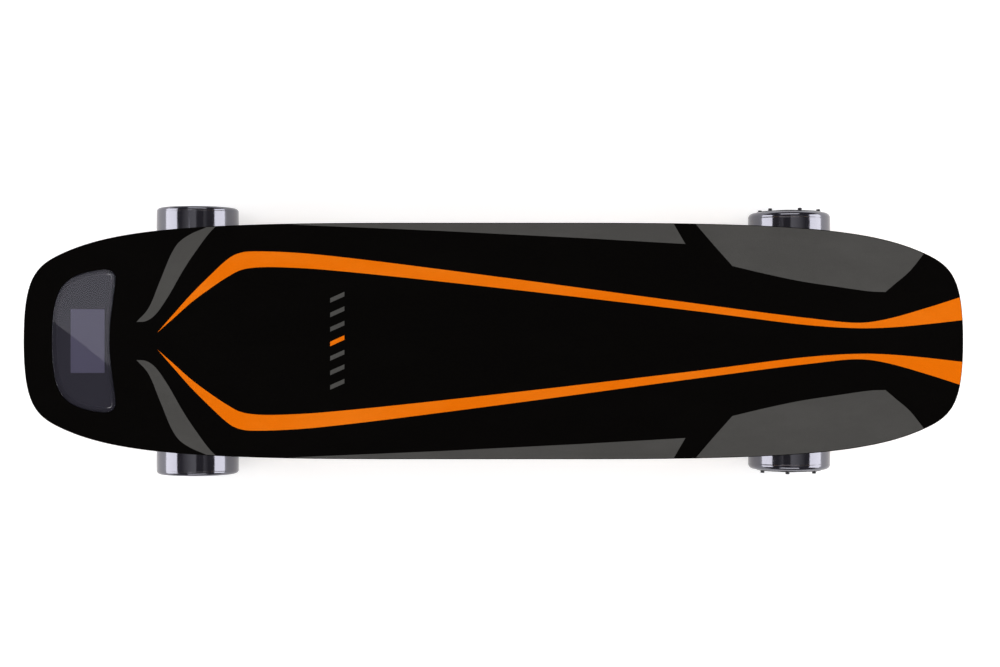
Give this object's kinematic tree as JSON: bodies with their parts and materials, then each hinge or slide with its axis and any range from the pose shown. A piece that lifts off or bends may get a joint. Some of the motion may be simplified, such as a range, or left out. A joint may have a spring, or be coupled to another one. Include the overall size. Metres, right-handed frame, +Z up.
{
  "type": "electric skateboard",
  "caption": "Longboard-shaped electric skateboard: black grip deck with orange and gray stripes, nose display window, lean-steer trucks and rear hub motors.",
  "frame": {"origin": "on the ground under the middle of the deck", "axes": "+X towards the tail, +Y to the rider's right when facing the nose, +Z up; the nose with the display window is at -X"},
  "size_m": [0.94, 0.277, 0.13],
  "materials": {
    "maple": "lacquered",
    "grip": "gritty, printed",
    "brass": "turned",
    "dark_steel": "black oxide",
    "steel": "zinc plated",
    "cast_aluminium": "powder coated black",
    "aluminium": "brushed",
    "urethane": "glossy",
    "bushing_urethane": "satin",
    "cup_urethane": "satin",
    "rubber": "matt",
    "smoked_acrylic": "gloss, smoked",
    "lcd_glass": "gloss",
    "black_plastic": "moulded, satin",
    "pcb": "solder mask",
    "flat_cable": "satin",
    "cell_wrap": "shrink wrap",
    "nickel": "satin",
    "red_cable": "satin",
    "orange_plastic": "gloss",
    "laminations": "varnished",
    "copper": "enamelled",
    "magnet": "nickel plated"
  },
  "bodies": {
    "board": {"deck": "maple", "grip_sheet": "grip", "deck_inserts": "brass", "truck_bolts": "dark_steel", "riser_pads": "rubber", "truck_baseplates": "cast_aluminium", "kingpins": "steel", "kingpin_nuts": "steel", "bushing_washers": "steel", "front_bushings": "bushing_urethane", "rear_bushings": "bushing_urethane", "pivot_cups": "cup_urethane", "display_window": "smoked_acrylic", "display_gasket": "rubber", "lcd_panel": "lcd_glass", "lcd_frame": "black_plastic", "display_board": "pcb", "display_tray": "black_plastic", "display_ribbon": "flat_cable", "battery_cover": "black_plastic", "battery_cells": "cell_wrap", "cell_strips": "nickel", "battery_board": "pcb", "controller_cover": "black_plastic", "controller_board": "pcb", "controller_heatsink": "aluminium", "box_gaskets": "rubber", "box_screws": "dark_steel", "power_harness": "red_cable", "switch_housing": "steel", "charge_socket": "black_plastic", "cable_glands": "black_plastic", "motor_leads": "rubber"},
    "power_button": {"power_button": "orange_plastic"},
    "charge_cap": {"charge_cap": "rubber"},
    "front_hanger": {"front_hanger": "cast_aluminium", "front_axle": "steel", "front_axle_nuts": "steel", "front_inner_races": "steel"},
    "front_left_wheel": {"front_left_tyre": "urethane", "front_left_core": "black_plastic", "front_left_bearings": "steel"},
    "front_right_wheel": {"front_right_tyre": "urethane", "front_right_core": "black_plastic", "front_right_bearings": "steel"},
    "rear_hanger": {"rear_hanger": "cast_aluminium", "rear_axle": "steel", "rear_inner_races": "steel", "stators": "laminations", "stator_coils": "copper"},
    "rear_left_rotor": {"rear_left_tyre": "urethane", "rear_left_can": "dark_steel", "rear_left_magnets": "magnet", "rear_left_cover": "cast_aluminium", "rear_left_bearings": "steel"},
    "rear_right_rotor": {"rear_right_tyre": "urethane", "rear_right_can": "dark_steel", "rear_right_magnets": "magnet", "rear_right_cover": "cast_aluminium", "rear_right_bearings": "steel"}
  },
  "joints": [
    {"name": "front_steer", "type": "hinge", "parent": "board", "child": "front_hanger", "pos_m": [-0.31536, 0, 0.07008], "axis": [-0.7071, 0, 0.7071], "range_deg": [-15, 15], "stiffness_Nm_per_rad": 60, "deforming": ["front_bushings"]},
    {"name": "rear_steer", "type": "hinge", "parent": "board", "child": "rear_hanger", "pos_m": [0.31536, 0, 0.07008], "axis": [0.7071, 0, 0.7071], "range_deg": [-15, 15], "stiffness_Nm_per_rad": 60, "deforming": ["rear_bushings", "motor_leads"]},
    {"name": "front_left_spin", "type": "hinge", "parent": "front_hanger", "child": "front_left_wheel", "pos_m": [-0.309, -0.1125, 0.0425], "axis": [0, 1, 0], "continuous": true},
    {"name": "front_right_spin", "type": "hinge", "parent": "front_hanger", "child": "front_right_wheel", "pos_m": [-0.309, 0.1125, 0.0425], "axis": [0, 1, 0], "continuous": true},
    {"name": "rear_left_spin", "type": "hinge", "parent": "rear_hanger", "child": "rear_left_rotor", "pos_m": [0.309, -0.1085, 0.0425], "axis": [0, 1, 0], "continuous": true},
    {"name": "rear_right_spin", "type": "hinge", "parent": "rear_hanger", "child": "rear_right_rotor", "pos_m": [0.309, 0.1085, 0.0425], "axis": [0, 1, 0], "continuous": true},
    {"name": "button_press", "type": "slide", "parent": "board", "child": "power_button", "axis": [0, -1, 0], "range_m": [0, 0.002], "stiffness_N_per_m": 400},
    {"name": "cap_open", "type": "hinge", "parent": "board", "child": "charge_cap", "pos_m": [0.0915, 0.0797, 0.0945], "axis": [0, 0, -1], "range_deg": [0, 110]}
  ]
}
